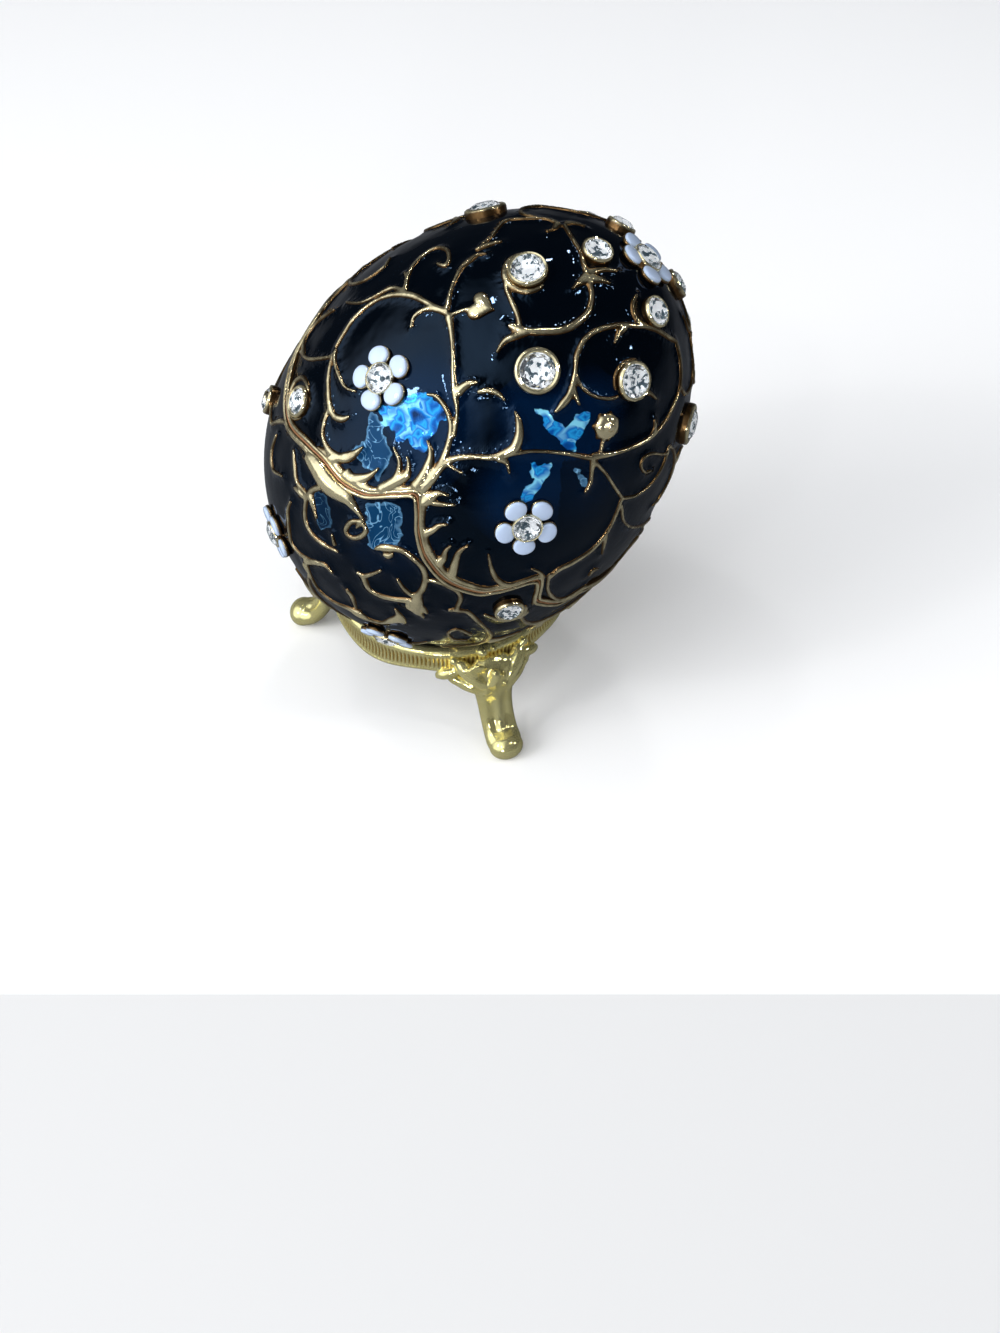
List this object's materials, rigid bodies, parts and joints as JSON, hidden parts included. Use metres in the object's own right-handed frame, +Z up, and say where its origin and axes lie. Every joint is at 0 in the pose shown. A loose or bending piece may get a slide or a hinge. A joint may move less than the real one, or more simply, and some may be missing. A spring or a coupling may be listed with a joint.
{
  "type": "jeweled egg trinket box",
  "caption": "Enamelled egg trinket box with gilt scrollwork, white flowers and clear stones, leaning in the ring of a three-legged gold stand.",
  "frame": {"origin": "middle of the object's outline on the ground, under the stand", "axes": "+Z up from the ground through the stand; +X to the side the egg leans to; -Y towards the front, where the seam rises to a point"},
  "size_m": [0.0568, 0.0518, 0.0697],
  "materials": {
    "navy_enamel": "glossy translucent enamel over metal, with gilt relief",
    "antique_gilt": "antique gilt",
    "bright_gold": "polished gold plate",
    "crystal": "cut and polished",
    "steel": "satin"
  },
  "bodies": {
    "stand": {"tripod_stand": "bright_gold"},
    "base": {"base_shell": "navy_enamel", "base_magnet": "steel", "base_side_crystal": "crystal", "base_edge_crystal_1": "crystal", "base_edge_crystal_2": "crystal", "base_flower_crystal_1": "crystal", "base_flower_crystal_2": "crystal", "base_flower_crystal_3": "crystal", "base_flower_crystal_4": "crystal", "base_hinge_leaf": "antique_gilt", "hinge_pin": "steel"},
    "lid": {"lid_shell": "navy_enamel", "lid_magnet": "steel", "top_crystal": "crystal", "crown_crystal_1": "crystal", "crown_crystal_2": "crystal", "crown_crystal_3": "crystal", "crown_crystal_4": "crystal", "shoulder_crystal_1": "crystal", "shoulder_crystal_2": "crystal", "shoulder_crystal_3": "crystal", "shoulder_crystal_4": "crystal", "ring_crystal_1": "crystal", "ring_crystal_2": "crystal", "ring_crystal_3": "crystal", "ring_crystal_4": "crystal", "flower_crystal_1": "crystal", "flower_crystal_2": "crystal", "flower_crystal_3": "crystal", "flower_crystal_4": "crystal", "lid_edge_crystal_1": "crystal", "lid_edge_crystal_2": "crystal", "lid_hinge_leaf": "antique_gilt"}
  },
  "joints": [
    {"name": "egg_lift", "type": "slide", "parent": "stand", "child": "base", "axis": [0, 0, 1], "range_m": [0, 0.03]},
    {"name": "lid_hinge", "type": "hinge", "parent": "base", "child": "lid", "pos_m": [0.00877, 0.02263, 0.03099], "axis": [-0.7081, 0.4462, 0.5473], "range_deg": [0, 100]}
  ]
}
